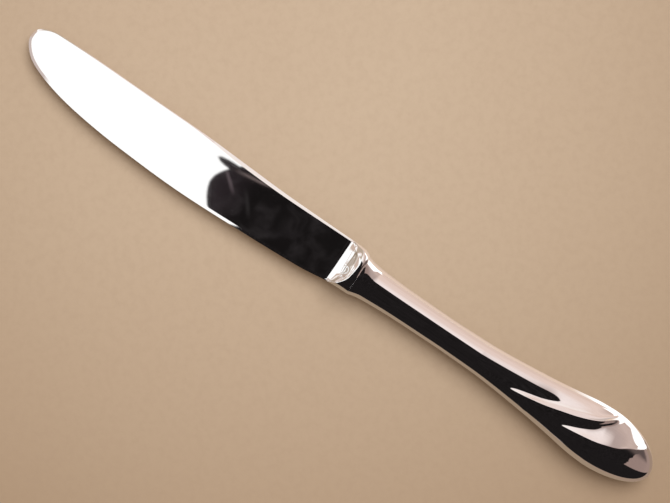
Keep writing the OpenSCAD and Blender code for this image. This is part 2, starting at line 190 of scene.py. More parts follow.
def half_w(x):
    return swell(x, MOUTH_W / 2, NECK_W / 2, BULB_W / 2, FLARE_SHARES)


def half_t(x):
    return swell(x, MOUTH_T / 2, NECK_T / 2, BULB_T / 2, FLARE_T_SHARES)


def along(k, x):
    """Share of the run of ridge k."""
    return within((x - RIDGE_FROM[k]) / (RIDGE_TO[k] - RIDGE_FROM[k]))


def ridge(k, x):
    """Where ridge k lies across the handle."""
    return curve(RIDGE_SHARES[k], along(k, x))


def ridge_angle(k, x):
    return np.arccos(np.clip(ridge(k, x), -1, 1))


def soft_from_zero(s, foot):
    """s where it is well above zero, and a rounded foot of that size about zero."""
    return (s + np.sqrt(s * s + foot * foot)) / 2


def flute(k, x, across):
    """Depth of flute k. Across its width, from its ridge to the next ridge or to the rim, it falls as a
    parabola to the floor and rises as another. Both ends are rounded over a tenth of a millimetre, as polishing
    leaves them."""
    t = along(k, x)
    above = np.ones_like(x) if k == 0 else ridge(k - 1, x)
    width = np.maximum(above - ridge(k, x), TINY)
    floor_at = curve(FLOOR_SHARES[k], t)
    foot = np.minimum(RIDGE_ROUND / half_w(x).clip(ROUND_HALF_W) / width, ROUND_MOST)
    s = soft_from_zero((across - ridge(k, x)) / width, foot)
    s = 1 - soft_from_zero(1 - s, foot)
    down = 1 - (1 - np.minimum(s / floor_at, 1)) ** 2
    up = 1 - within((s - floor_at) / (1 - floor_at)) ** 2
    deepest = FLUTE_DEPTH * curve(DEPTH_SHARES[k], t) * ease(width / FADE_SHARE)
    has_ridge = (x > RIDGE_FROM[k]) & (x < RIDGE_TO[k])
    return np.where(has_ridge, deepest * np.where(s < floor_at, down, up), 0)


def handle_skin(x, angle, off):
    """Points of the handle's skin: a squarish section at the mouth that becomes an ellipse, about a centre line
    that leans at the end, less the flutes, and all of it drawn in by off. Angle 0 is the rim on the spine side
    and pi the rim on the cutting side."""
    x, angle = np.broadcast_arrays(x, angle)
    across = np.cos(angle)
    back = within((x - BULB_AT) / BULB_BACK)
    wide = np.maximum(half_w(x) - off, 0)
    thick = np.maximum(half_t(x) - off, 0)
    height = rounded(across, mix(MOUTH_POWER, 2, ease(x / (SQUARE_SHARE * NECK_AT))))
    z = height * np.maximum(thick - flute(0, x, across) - flute(1, x, across), 0)
    return np.stack([BOLSTER_LEN + x - off * back, -END_LEAN * back ** 3 + wide * across, z], axis=-1)


def handle_stations():
    """Distances from the seam at which rows are taken: crowded at the mouth, even along the neck, even but
    closer along the flutes, and by equal angles round the end."""
    flutes_at = RIDGE_FROM[0] - FLUTE_LEAD
    mouth = MOUTH_STRIP * np.linspace(0, 1, MOUTH_STEPS + 1)[:-1] ** 2
    neck = np.linspace(MOUTH_STRIP, flutes_at, NECK_STEPS + 1)[:-1]
    flutes = np.linspace(flutes_at, BULB_AT, FLUTE_STEPS + 1)[:-1]
    end = BULB_AT + BULB_BACK * np.sin(np.linspace(0, np.pi / 2, END_STEPS + 1))
    return np.concatenate([mouth, neck, flutes, end])


def crowded(n):
    """n + 1 shares from 0 to 1, closer together at both ends."""
    s = np.linspace(0, 1, n + 1)
    return mix(s, (1 - np.cos(np.pi * s)) / 2, CROWDING)


def section_angles(x):
    """Angles across each section from rim to rim, crowded at both ridges so that columns run along them."""
    first = np.maximum(ridge_angle(0, x), RIDGES_APART)
    second = np.maximum(ridge_angle(1, x), first + RIDGES_APART)
    stops = [np.zeros_like(x), first, second, np.full_like(x, np.pi)]
    return side_by_side([mix(start[:, None], stop[:, None], crowded(n))
                         for start, stop, n in zip(stops[:-1], stops[1:], BETWEEN_RIDGES_COLUMNS)])


# The blade, the bolster and the tang. x is the distance from the heel, and across a share of the half width
def raised(outline, z):
    """Points of an outline at a height."""
    return np.column_stack([outline, np.broadcast_to(z, len(outline))])


def flat_z(outline):
    """Half the blade's thickness on its flat: one plane that falls toward the tip and the cutting edge."""
    return FLAT_AT_AXIS + FALL_X * outline[:, 0] + FALL_Y * outline[:, 1]


def inset(outline, width, side):
    """An outline moved into the blade by a width, square to its own run, or straight back at the tip."""
    dx, dy = np.gradient(outline, axis=0).T
    inward = side * np.stack([-dy, dx], -1) / np.hypot(dx, dy)[:, None]
    inward[0] = 1, 0
    return outline + width * inward


def blade_rows():
    """Rows across the blade from the tip to the heel, and where their columns lie across. A row runs from the
    cutting edge over its ground band, the flat and the eased spine. Rows are taken at x = length times (t
    squared less 1), so they crowd round the tip, and columns by a cosine, so they crowd at both rims."""
    t = np.linspace(0, 1, BLADE_STEPS + 1)
    x = BLADE_LEN * (t * t - 1)
    spine = np.stack([x, BLADE_W * curve(SPINE_SHARES, t)], -1)
    edge = np.stack([x, BLADE_W * curve(EDGE_SHARES, t)], -1)
    bevel = mix(EDGE_BEVEL, SPINE_BEVEL * curve(SPINE_BEVEL_SHARES, t), ease(t / TIP_SHARE))
    band_top = inset(edge, EDGE_BEVEL, 1)
    bevel_top = inset(spine, bevel[:, None], -1)
    fallen = flat_z(spine) - SPINE_EASE * bevel / SPINE_BEVEL
    spine_z = mix(EDGE_T / 2, fallen, ease(t / SPINE_BEVEL_SHARES[1][0]))
    lines = [raised(edge, EDGE_T / 2), raised(band_top, flat_z(band_top)),
             raised(bevel_top, flat_z(bevel_top)), raised(spine, spine_z)]
    across = -np.cos(np.linspace(0, np.pi, sum(BAND_FLAT_SPINE_COLUMNS) + 1))
    parts, first = [], 0
    for low, high, n in zip(lines[:-1], lines[1:], BAND_FLAT_SPINE_COLUMNS):
        part = across[first:first + n + 1]
        share = (part - part[0]) / (part[-1] - part[0])
        parts.append(mix(low[:, None], high[:, None], share[:, None]))
        first += n
    return side_by_side(parts), across


def cove(s, lag):
    """The bolster's rise over its run: a late smooth step of the fifth power, and a share of a parabola that
    begins at the heel."""
    t = within(s) ** lag
    return mix(t ** 3 * (t * (6 * t - 15) + 10), 1 - (1 - within(s)) ** 2, HEEL_RISE_SHARE)


def bolster_rows(root, across):
    """Rows across the bolster: the blade's root section blends up a cove to the crest, whose place along the
    knife bows across it, and the crest falls as a parabola to the section of the handle's mouth."""
    t = np.linspace(0, 1, BOLSTER_STEPS + 1)[1:, None]
    spine_y = mix(MOUTH_W / 2, root[-1, 1], 1 - t ** SPINE_NARROWS)
    edge_y = mix(-MOUTH_W / 2, root[0, 1], (1 - t) ** EDGE_NARROWS)
    y = mix(edge_y, spine_y, (1 + across) / 2)
    front = curve(CREST_SHARES, across)
    after = within((t - front) / (1 - front))
    tall = (MOUTH_T / 2 + CREST_H * (1 - after ** 2)) * rounded(across, MOUTH_POWER)
    z = mix(root[:, 2], tall, cove(t / front, curve(LAG_SHARES, across)))
    return np.stack([np.broadcast_to(BOLSTER_LEN * t, y.shape), y, z], -1)


def tang_rows(across):
    """Rows across the tang: a flat bar that tapers evenly to a half-round end."""
    end = TANG_END_W / 2
    t = np.linspace(0, 1, TANG_STEPS + 1)
    turn = np.linspace(0, np.pi / 2, TANG_END_STEPS + 1)[1:]
    x = BOLSTER_LEN + np.concatenate([(TANG_LEN - end) * t, TANG_LEN - end + end * np.sin(turn)])
    y = np.concatenate([mix(TANG_W / 2, end, t), end * np.cos(turn)])[:, None] * across
    return np.stack([np.broadcast_to(x[:, None], y.shape), y, np.full_like(y, TANG_T / 2)], -1)


# How the knife lies
def rolled(p):
    """Points turned about the knife's length, its spine side down, as far as it rolls at rest."""
    x, y, z = np.moveaxis(p, -1, 0)
    roll = math.radians(REST_ROLL)
    return np.stack([x, y * math.cos(roll) + z * math.sin(roll), z * math.cos(roll) - y * math.sin(roll)], -1)


def leant(p, lean):
    """Points turned about a line across the knife, so that the handle's end rises."""
    x, y, z = np.moveaxis(p, -1, 0)
    return np.stack([x * math.cos(lean) - z * math.sin(lean), y, x * math.sin(lean) + z * math.cos(lean)], -1)


def resting(blade, bolster, handle):
    """Lean and shift that lay the knife down as the part's source does: on the bolster's crest and the bulb,
    its lowest point at zero and its plan centred."""
    drops = -rolled(bolster * UNDER)[..., 2]
    foot_x, foot_z = bolster[np.argmax(drops.max(1)), 0, 0], drops.max()
    far = handle[handle[:, 0, 0] > BOLSTER_LEN + NECK_AT]
    lean = np.arctan((-rolled(far * UNDER)[..., 2] - foot_z) / (far[..., 0] - foot_x)).max()
    points = np.concatenate([rows.reshape(-1, 3) for rows in (blade, bolster, handle)])
    laid = leant(rolled(np.concatenate([points, points * UNDER])), lean)
    low, high = laid.min(0), laid.max(0)
    return lean, np.array([(low[0] + high[0]) / 2, (low[1] + high[1]) / 2, low[2]])


STATIONS = handle_stations()[:, None]
HANDLE = handle_skin(STATIONS, section_angles(STATIONS[:, 0]), 0)
BLADE, ACROSS = blade_rows()
BOLSTER = bolster_rows(BLADE[-1], ACROSS)
LEAN, SHIFT = resting(BLADE, BOLSTER, HANDLE)


def laid_down(p):
    """The knife's own plane turned down onto the sheet and centred, and millimetres made metres."""
    return (leant(rolled(p), LEAN) - SHIFT) * MM


# The pieces
def ring_mesh(name, rings, crease):
    """One closed skin through rings of points, each joined all round to the next. Coinciding points are
    merged, a face that others wall in is dropped, an open end is filled, and faces look outward. Edges sharper
    than crease stay crisp."""
    rows, places = rings.shape[:2]
    row, place = np.meshgrid(np.arange(rows - 1), np.arange(places), indexing="ij")
    here, beside = row * places + place, row * places + (place + 1) % places
    quads = np.stack([here, beside, beside + places, here + places], -1).reshape(-1, 4)
    mesh = bpy.data.meshes.new(name)
    mesh.from_pydata(laid_down(rings).reshape(-1, 3), [], quads.tolist())
    piece = bpy.data.objects.new(name, mesh)
    bpy.context.scene.collection.objects.link(piece)
    skin = bmesh.new()
    skin.from_mesh(mesh)
    bmesh.ops.remove_doubles(skin, verts=skin.verts, dist=SAME_POINT)
    bmesh.ops.dissolve_degenerate(skin, edges=skin.edges, dist=SLIVER)
    walled_in = [face for face in skin.faces if all(len(edge.link_faces) > 2 for edge in face.edges)]
    bmesh.ops.delete(skin, geom=walled_in, context="FACES_ONLY")
    bmesh.ops.holes_fill(skin, edges=[edge for edge in skin.edges if edge.is_boundary], sides=0)
    bmesh.ops.recalc_face_normals(skin, faces=skin.faces)
    skin.to_mesh(mesh)
    skin.free()
    mesh.polygons.foreach_set("use_smooth", np.ones(len(mesh.polygons), bool))
    mesh.set_sharp_from_angle(angle=math.radians(crease))
    return piece


def gathered(ring):
    """A ring drawn together at its own middle, which closes the end of a skin."""
    return np.broadcast_to(ring.mean(0), ring.shape)[None]


def forging():
    """Blade, bolster and tang as one skin: over the top from the cutting side to the spine, and back."""
    top = np.concatenate([BLADE, BOLSTER, tang_rows(ACROSS)])
    rings = np.concatenate([top, top[:, ::-1] * UNDER], axis=1)
    rings = np.concatenate([gathered(rings[0]), rings, gathered(rings[-1])])
    return ring_mesh("blade_forging", rings, FORGING_CREASE)


def lip(x):
    """How far the shells draw in at the mouth: a quarter of an ellipse over the lip's run."""
    return LIP_DEPTH * (1 - np.sqrt(1 - (1 - np.minimum(x / LIP_RUN, 1)) ** 2))


def half_shell(name, side):
    """One pressed half of the handle: outside from rim to rim, and back inside, a wall's depth in."""
    outer = HANDLE.copy()
    section = outer[..., 1:]
    section -= lip(STATIONS)[..., None] * section / np.linalg.norm(section, axis=-1, keepdims=True).clip(TINY)
    inner = handle_skin(STATIONS, np.linspace(np.pi, 0, INSIDE_COLUMNS + 1), WALL)
    rings = np.concatenate([outer, inner], axis=1) * np.array([1, 1, side])
    return ring_mesh(name, rings, SHELL_CREASE)


class Finish:
    """A material under construction: its helpers add nodes and return an output socket. A colour is three
    shares of light."""

    def __init__(self, name):
        self.material = bpy.data.materials.new(name)
        self.material.use_nodes = True
        self.nodes, self.links = self.material.node_tree.nodes, self.material.node_tree.links
        self.shader = self.nodes["Principled BSDF"]

    def feed(self, socket, value):
        """Joins an input socket to an output socket, or sets a plain number or colour on it."""
        if isinstance(value, bpy.types.NodeSocket):
            self.links.new(value, socket)
        elif socket.type == "RGBA":
            socket.default_value = (*value, 1)
        else:
            socket.default_value = value

    def node(self, kind, inputs=(), **settings):
        made = self.nodes.new(kind)
        for key, value in settings.items():
            setattr(made, key, value)
        for key, value in dict(inputs).items():
            self.feed(made.inputs[key], value)
        return made

    def place(self, stretch=(1, 1, 1), turn=0.0):
        """The place on the object in metres, stretched and turned about z."""
        here = self.node("ShaderNodeTexCoord").outputs["Object"]
        inputs = {"Vector": here, "Scale": stretch, "Rotation": (0, 0, turn)}
        return self.node("ShaderNodeMapping", inputs).outputs["Vector"]

    def noise(self, scale, detail, rough, warp=0.0, **place):
        inputs = {"Vector": self.place(**place), "Scale": scale, "Detail": detail, "Roughness": rough,
                  "Distortion": warp}
        return self.node("ShaderNodeTexNoise", inputs).outputs["Fac"]

    def ramp(self, value, edge, result):
        """A smooth step from one result to the other between the two values of an edge."""
        made = self.node("ShaderNodeMapRange", interpolation_type="SMOOTHSTEP")
        for socket, given in zip(made.inputs, (value, *edge, *result)):
            self.feed(socket, given)
        return made.outputs["Result"]

    def rise(self, value, edge):
        """0 below an edge and 1 above it."""
        return self.ramp(value, edge, (0, 1))

    def fall(self, value, edge):
        """1 below an edge and 0 above it."""
        return self.ramp(value, edge, (1, 0))

    def blend(self, share, under, over):
        """A colour laid over another by a share."""
        made = self.node("ShaderNodeMix", data_type="RGBA")
        for socket, given in zip([s for s in made.inputs if s.enabled], (share, under, over)):
            self.feed(socket, given)
        return next(s for s in made.outputs if s.enabled)

    def many(self, kind, first, *others):
        """One kind of arithmetic, carried on from the first value through the others."""
        made = first
        for other in others:
            made = self.node("ShaderNodeMath", {0: made, 1: other}, operation=kind).outputs[0]
        return made

    def line(self, slope, value, lift=0.0):
        """Slope times value, plus lift."""
        return self.node("ShaderNodeMath", {0: value, 1: slope, 2: lift}, operation="MULTIPLY_ADD").outputs[0]

    def size(self, *values):
        """The root of the sum of squares."""
        squares = [self.many("MULTIPLY", value, value) for value in values]
        return self.node("ShaderNodeMath", {0: self.many("ADD", *squares)}, operation="SQRT").outputs[0]

    def bump(self, height, strength, distance, **under):
        inputs = {"Height": height, "Strength": strength, "Distance": distance, **under}
        return self.node("ShaderNodeBump", inputs).outputs["Normal"]

    def on_shader(self, **sockets):
        for key, value in sockets.items():
            self.feed(self.shader.inputs[key.replace("_", " ")], value)

    def glow(self, colour):
        return self.node("ShaderNodeEmission", {"Color": colour, "Strength": 1.0}).outputs[0]

    def on_surface(self, shader):
        self.links.new(shader, self.nodes["Material Output"].inputs["Surface"])


# The finishes of the knife
BLADE_TONE, HANDLE_TONE, CEMENT_TONE = (0.80, 0.79, 0.78), (0.80, 0.78, 0.77), (0.45, 0.39, 0.31)
# Hairline marks to a metre, along the blade, along the handle and across both
BLADE_HAIRS, HANDLE_HAIRS, HAIRS_ACROSS = 60, 120, 3600
# Polish lines, finer than the hairs and slightly off the knife's direction, and the share to which they darken
LINES_STRETCH, LINES_TURN, LINES_DARKEN = (90, 7000, 7000), 0.05, 0.94
# Roughness of clean and of smeared steel, and what the hairs add
CLEAN_ROUGH, SMEARED_ROUGH, HAIR_ROUGH = 0.018, 0.035, 0.015
# Where the noise of the smears, the hairs and the polish lines starts to show and shows in full, and the
# stretch of the buffing waves
SMEAR_EDGE, HAIR_EDGE, LINE_EDGE, WAVE_STRETCH = (0.52, 0.78), (0.55, 0.8), (0.3, 0.8), (0.6, 1, 1)
# Depths in metres of the hairs, the buffing waves and the cement's pores
HAIR_DEPTH, WAVE_DEPTH, PORE_DEPTH = 2e-6, 1.2e-5, 6e-5
# The cement's mottling, as shares of its tone and a range of roughness, and its pores to a metre
CEMENT_DARKEN, CEMENT_LIGHTEN, CEMENT_ROUGH, PORES = 0.8, 1.12, (0.72, 0.88), 900.0
# Where its noise turns from dark to light and from smooth to rough, and how far a pore's hollow reaches
MOTTLE_EDGE, MOTTLE_ROUGH_EDGE, PORE_EDGE = (0.35, 0.7), (0.3, 0.7), (0.0, 0.3)


def shaded(tone, share):
    return tuple(share * part for part in tone)


def polished_steel(name, tone, hairs_along):
    """Mirror-polished steel: hairline marks along the knife, faint smears, and slow waves from the buffing."""
    steel = Finish(name)
    hairs = steel.noise(scale=1.0, detail=3.0, rough=0.6, stretch=(hairs_along, HAIRS_ACROSS, HAIRS_ACROSS))
    lines = steel.noise(scale=1.0, detail=2.0, rough=0.5, stretch=LINES_STRETCH, turn=LINES_TURN)
    smears = steel.noise(scale=130.0, detail=4.0, rough=0.6, warp=0.4)
    waves = steel.noise(scale=95.0, detail=1.0, rough=0.4, stretch=WAVE_STRETCH)
    dull = steel.ramp(smears, SMEAR_EDGE, (CLEAN_ROUGH, SMEARED_ROUGH))
    scratched = steel.ramp(hairs, HAIR_EDGE, (0.0, HAIR_ROUGH))
    colour = steel.blend(steel.rise(lines, LINE_EDGE), tone, shaded(tone, LINES_DARKEN))
    waved = steel.bump(waves, strength=0.5, distance=WAVE_DEPTH)
    steel.on_shader(Base_Color=colour, Metallic=1.0, Roughness=steel.many("ADD", dull, scratched),
                    Normal=steel.bump(hairs, strength=0.08, distance=HAIR_DEPTH, Normal=waved))
    return steel.material


def cast_cement(name, tone):
    """Cast resin cement: a matt, slightly mottled paste with small pores."""
    paste = Finish(name)
    mottle = paste.noise(scale=220.0, detail=5.0, rough=0.6)
    pores = paste.node("ShaderNodeTexVoronoi", {"Vector": paste.place(), "Scale": PORES}).outputs["Distance"]
    dark, light = shaded(tone, CEMENT_DARKEN), shaded(tone, CEMENT_LIGHTEN)
    colour = paste.blend(paste.rise(mottle, MOTTLE_EDGE), dark, light)
    paste.on_shader(Base_Color=colour, Roughness=paste.ramp(mottle, MOTTLE_ROUGH_EDGE, CEMENT_ROUGH),
                    Normal=paste.bump(paste.rise(pores, PORE_EDGE), strength=0.4, distance=PORE_DEPTH))
    return paste.material


# The knife put together
blade = forging()
upper_shell = half_shell("upper_half_shell", 1.0)
lower_shell = half_shell("lower_half_shell", -1.0)
blade_steel = polished_steel("polished_blade_steel", BLADE_TONE, BLADE_HAIRS)
handle_steel = polished_steel("polished_handle_steel", HANDLE_TONE, HANDLE_HAIRS)
for piece, node, steel, slot in ((blade, "blade", blade_steel, "blade_steel"),
                                 (upper_shell, "upper_shell", handle_steel, "handle_steel"),
                                 (lower_shell, "lower_shell", handle_steel, "handle_steel")):
    piece.data.materials.append(steel)
    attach(piece, "root")
    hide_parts(node)
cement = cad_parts["tang_cement"]
cement.data.materials.clear()
cement.data.materials.append(cast_cement("cast_tang_cement", CEMENT_TONE))

# The studio, in metres from the middle of the knife: x runs toward the handle's end, y toward the spine side.
# Its walls and lamps are painted on one flat card above the knife, which only polished steel sees. In what
# follows, a pair is a soft edge, two places between which a tone changes, a triple is a colour of light, and a
# slope is that of a line over the card
CARD_Z, CARD_HALF = 0.6, 60
SHEET_Z, SHEET_HALF = -0.0004, 6
# The blade mirrors the card as a flat window does, so what shows in it is placed by pixels of the photograph: u
# along the knife from its tip, and v across it. The middle of the knife is at MIDDLE_U and MIDDLE_V
PIXELS_PER_METRE, MIDDLE_U, MIDDLE_V = 1577.3, 396.9, -21.7
# Share of its length over which a streak fades in, and out
STREAK_FADE = 0.4


class CardPaint(Finish):
    """A finish painted by place on a flat card or sheet."""

    def __init__(self, name):
        super().__init__(name)
        here = self.node("ShaderNodeTexCoord").outputs["Object"]
        parts = self.node("ShaderNodeSeparateXYZ", {"Vector": here})
        self.x, self.y = parts.outputs["X"], parts.outputs["Y"]

    def past(self, value, slope, other):
        """How far a value lies above slope times another."""
        return self.many("SUBTRACT", value, self.line(slope, other))

    def all_of(self, *shares):
        return self.many("MULTIPLY", *shares)

    def any_of(self, *shares):
        return self.many("MAXIMUM", *shares)

    def streak(self, u, v, start, end, wide):
        """1 on the line from start to end, falling to 0 at wide to its sides and at its ends."""
        run = math.dist(start, end)
        fade = run * STREAK_FADE
        du, dv = (end[0] - start[0]) / run, (end[1] - start[1]) / run
        off = self.many("ADD", self.line(dv, u, start[1] * du - start[0] * dv), self.line(-du, v))
        on = self.many("ADD", self.line(du, u, -start[0] * du - start[1] * dv), self.line(dv, v))
        beside = self.fall(self.many("ABSOLUTE", off, 0.0), (0.0, wide))
        return self.all_of(beside, self.rise(on, (0.0, fade)), self.fall(on, (run - fade, run)))


# The dark half of the card: its tone, a warm haze in it, and its tone near the rounded end
DARK, DARK_HAZE, DARK_NEAR_END = (0.010, 0.0085, 0.0085), (0.030, 0.026, 0.027), (0.060, 0.044, 0.052)
HAZE_EDGE, NEAR_END_U, NEAR_END_SHARE = (0.40, 0.75), (235.0, 275.0), 0.35
# Faint streaks in it: start and end in u and v, half width in pixels, colour, and how far the colour covers
STREAKS = (((228, -12), (256, 12), 2.6, (0.135, 0.105, 0.115), 1.0),
           ((236, -11), (290, -18), 2.4, (0.20, 0.155, 0.15), 1.0),
           ((258, -4), (282, 24), 3.5, (0.05, 0.045, 0.046), 0.5))


def dark_half(card, u, v):
    """Nearly black, with a dim, warm haze, and three faint streaks near its rounded end."""
    haze = card.noise(scale=70.0, detail=3.0, rough=0.55, warp=0.8)
    dark = card.blend(card.rise(haze, HAZE_EDGE), DARK, DARK_HAZE)
    dark = card.blend(card.ramp(u, NEAR_END_U, (NEAR_END_SHARE, 0)), dark, DARK_NEAR_END)
    for start, end, wide, colour, cover in STREAKS:
        dark = card.blend(card.all_of(card.streak(u, v, start, end, wide), cover), dark, colour)
    return dark


# The rounded end, in pixels: the foremost place of its parabola, how much that bends and where it stops
ROUND_END_U, ROUND_END_V, ROUND_END_BEND, ROUND_END_STOP = 226.3, 11.0, 0.0218, 258.0
# Its edge in pixels, the depth and stretch of its fraying, and the share of that it takes
ROUND_END_EDGE, FRAY, FRAY_STRETCH, ROUND_END_FRAYS = (-1.3, 1.3), 5.0, (1, 2.5, 1), 0.3
# A wisp beside it, an ellipse: middle and half sizes in pixels, and edge and fraying as shares of those
WISP_U, WISP_V, WISP_HALF_LEN, WISP_HALF_W = 240, -13.2, 21, 3.7
WISP_EDGE, WISP_FRAYS = (0.85, 1.1), 0.08


def handle_half(card, u, v):
    """1 on the handle's half of the card, from the rounded end on, and on the wisp beside it."""
    frayed = card.line(FRAY, card.noise(scale=110.0, detail=3.0, rough=0.7, stretch=FRAY_STRETCH), -FRAY / 2)
    aside = card.line(1.0, v, -ROUND_END_V)
    parabola = card.line(ROUND_END_BEND, card.many("MULTIPLY", aside, aside), ROUND_END_U)
    inside = card.many("SUBTRACT", u, card.many("MINIMUM", parabola, ROUND_END_STOP))
    half = card.rise(card.many("ADD", inside, card.line(ROUND_END_FRAYS, frayed)), ROUND_END_EDGE)
    off_wisp = card.size(card.line(1 / WISP_HALF_LEN, u, -WISP_U / WISP_HALF_LEN),
                         card.line(1 / WISP_HALF_W, v, -WISP_V / WISP_HALF_W))
    wisp = card.fall(card.many("ADD", off_wisp, card.line(WISP_FRAYS, frayed)), WISP_EDGE)
    return card.any_of(half, wisp)


# The brim, where the dark half meets the spine side: level at first, then a line that falls toward the handle's
# end and one that rises again
BRIM_LEVEL = 0.175
BRIM_FALL_SLOPE, BRIM_FALL_LIFT = -1.28, 0.384
BRIM_RISE_SLOPE, BRIM_RISE_LIFT = 1.1, -0.245
BRIM_EDGE = (-0.007, 0.007)


def over_the_brim(card):
    """1 on the spine side of the brim."""
    falling = card.many("MINIMUM", BRIM_LEVEL, card.line(BRIM_FALL_SLOPE, card.x, BRIM_FALL_LIFT))
    brim = card.any_of(falling, card.line(BRIM_RISE_SLOPE, card.x, BRIM_RISE_LIFT))
    return card.rise(card.many("SUBTRACT", card.y, brim), BRIM_EDGE)


# The dim end of the room, past the handle. Its line runs straight across and then leans twice, with a torn edge
END_AT, END_LEAN_SLOPE, END_STEEP_SLOPE, END_STEEP_LIFT = 0.486, 0.37, 0.81, 0.382
END_EDGE, END_FOOT, TEAR = (-0.008, 0.008), (-0.27, -0.24), 0.05


def past_the_handle(card):
    """1 on the dim end of the room."""
    torn = card.line(TEAR, card.noise(scale=14.0, detail=3.0, rough=0.7), -TEAR / 2)
    leaning = card.line(END_LEAN_SLOPE, card.y, END_AT)
    steep = card.line(END_STEEP_SLOPE, card.y, END_STEEP_LIFT)
    beyond = card.many("SUBTRACT", card.many("ADD", card.x, torn), card.any_of(END_AT, leaning, steep))
    return card.all_of(card.rise(beyond, END_EDGE), card.rise(card.many("ADD", card.y, torn), END_FOOT))


# Its tone near the handle and far out, and a darker part toward the spine side, above a line that rises
END_NEAR, END_FAR, END_FAR_X = (0.38, 0.27, 0.24), (0.42, 0.30, 0.26), (0.6, 2.0)
END_DARK, END_DARK_SLOPE = (0.13, 0.095, 0.09), 0.3
END_DARK_EDGE, END_DARK_X = (-0.05, 0.25), (1.0, 2.0)


def end_tone(card):
    """The dim, warm grey past the handle's end."""
    return card.blend(card.rise(card.x, END_FAR_X), END_NEAR, END_FAR)


def end_side(card):
    """The same, darker toward the spine side."""
    above = card.past(card.y, END_DARK_SLOPE, card.x)
    darker = card.ramp(above, END_DARK_EDGE, (0, card.fall(card.x, END_DARK_X)))
    return card.blend(darker, end_tone(card), END_DARK)


# The pale spine side: its tone next to the dark half, further up, and toward the horizon
PALE, PALE_WARM, PALE_FAR = (1.12, 0.99, 0.96), (0.97, 0.77, 0.69), (0.90, 0.69, 0.59)
PALE_WARM_Y, PALE_FAR_Y = (0.20, 0.55), (0.6, 1.6)
# A brighter part toward the tip
BRIGHT, BRIGHT_X, BRIGHT_Y, BRIGHT_SHARE = (1.2, 1.12, 1.08), (-0.02, 0.06), (0.45, 0.9), 0.8
# It turns as dim as the room's end: by a share past one slanting line, and wholly past the diagonal
DIM_SLOPE, DIM_EDGE = 0.12, (0.045, 0.16)
DIM_Y, DIM_SHARES = (0.25, 0.7), (0.78, 0.45)
DIMMEST_EDGE = (0.0, 0.15)
# A lamp low behind the bulb, between a slanting line and the diagonal: a far part of it, and a near one
LAMP, FAR_LAMP_REACH = (1.7, 1.7, 1.7), (1.7, 1.9)
FAR_LAMP_SLOPE, FAR_LAMP_SIDE, FAR_LAMP_DIAGONAL = 0.13, (-0.02, 0.05), (-0.05, 0.05)
NEAR_LAMP_SLOPE, NEAR_LAMP_SIDE, NEAR_LAMP_DIAGONAL = 0.3, (0.30, 0.36), (-0.03, 0.06)


def behind_the_bulb(card):
    """Share of the lamp low behind the bulb, on the spine side."""
    over_diagonal = card.many("SUBTRACT", card.y, card.x)
    far = card.all_of(card.rise(card.size(card.x, card.y), FAR_LAMP_REACH),
                      card.rise(card.past(card.x, FAR_LAMP_SLOPE, card.y), FAR_LAMP_SIDE),
                      card.rise(over_diagonal, FAR_LAMP_DIAGONAL))
    near = card.all_of(card.rise(card.past(card.x, NEAR_LAMP_SLOPE, card.y), NEAR_LAMP_SIDE),
                       card.rise(over_diagonal, NEAR_LAMP_DIAGONAL))
    return card.any_of(far, near)


def spine_side(card):
    """Nearly white next to the dark half, warmer toward the horizon and dimmer toward the handle's end."""
    dim = end_tone(card)
    pale = card.blend(card.rise(card.y, PALE_WARM_Y), PALE, PALE_WARM)
    pale = card.blend(card.rise(card.y, PALE_FAR_Y), pale, PALE_FAR)
    bright_share = card.ramp(card.y, BRIGHT_Y, (BRIGHT_SHARE, 0))
    pale = card.blend(card.ramp(card.x, BRIGHT_X, (bright_share, 0)), pale, BRIGHT)
    dim_share = card.ramp(card.y, DIM_Y, DIM_SHARES)
    past_slant = card.past(card.x, DIM_SLOPE, card.y)
    pale = card.blend(card.ramp(past_slant, DIM_EDGE, (0, dim_share)), pale, dim)
    pale = card.blend(card.rise(card.many("SUBTRACT", card.x, card.y), DIMMEST_EDGE), pale, dim)
    return card.blend(behind_the_bulb(card), pale, LAMP)


# The white tip side: dark far out on the cutting side, warmer toward the spine side, and dimmer far out there
WHITE, WHITE_Y = (1.35, 1.35, 1.35), (-2.8, -2.2)
WARM_WHITE, WARM_WHITE_Y = (1.03, 0.86, 0.81), (0.22, 0.55)
DIM_WHITE, DIM_WHITE_Y, DIM_WHITE_X = (0.73, 0.61, 0.56), (2.15, 2.5), (-0.30, -0.20)
# A pink wedge that opens away from the knife, fainter far out, between a foot and a top that both slant
PINK_NEAR, PINK_FAR, PINK_FAR_X = (0.80, 0.68, 0.58), (0.74, 0.57, 0.48), (-6.0, -3.0)
PINK_DEEP, PINK_DEEP_Y = (0.62, 0.42, 0.31), (0.1, 0.8)
PINK_X, PINK_FADE_X, PINK_FADES = (-0.32, -0.26), (-3.6, -2.6), (0.45, 1)
PINK_FOOT_SLOPE, PINK_FOOT_LEAST, PINK_FOOT_EDGE = 0.054, -0.35, (0.0, 0.02)
PINK_TOP_SLOPE, PINK_TOP_EDGE = -0.02, (0.03, 0.06)
# A step on that wedge, toward the spine side
STEP_Y, STEP_NEAR_X, STEP_FAR_X = (0.26, 0.32), (-1.20, -1.05), (-1.9, -1.8)
# A beige panel that the bolster mirrors: a low part that ends in a leaning side, and a high part under a slant
BEIGE, BEIGE_X = (0.60, 0.48, 0.38), (-0.30, -0.22)
BEIGE_LOW_Y, BEIGE_LOW_TOP_Y = (0.12, 0.16), (0.62, 0.68)
BEIGE_SIDE_Y, BEIGE_SIDE_X, BEIGE_SIDE_EDGE = (0.20, 0.26), (-1.07, -0.65), (-0.08, 0.07)
BEIGE_HIGH_Y, BEIGE_SLANT, BEIGE_SLANT_EDGE = (0.58, 0.66), -1.6, (0.66, 0.76)
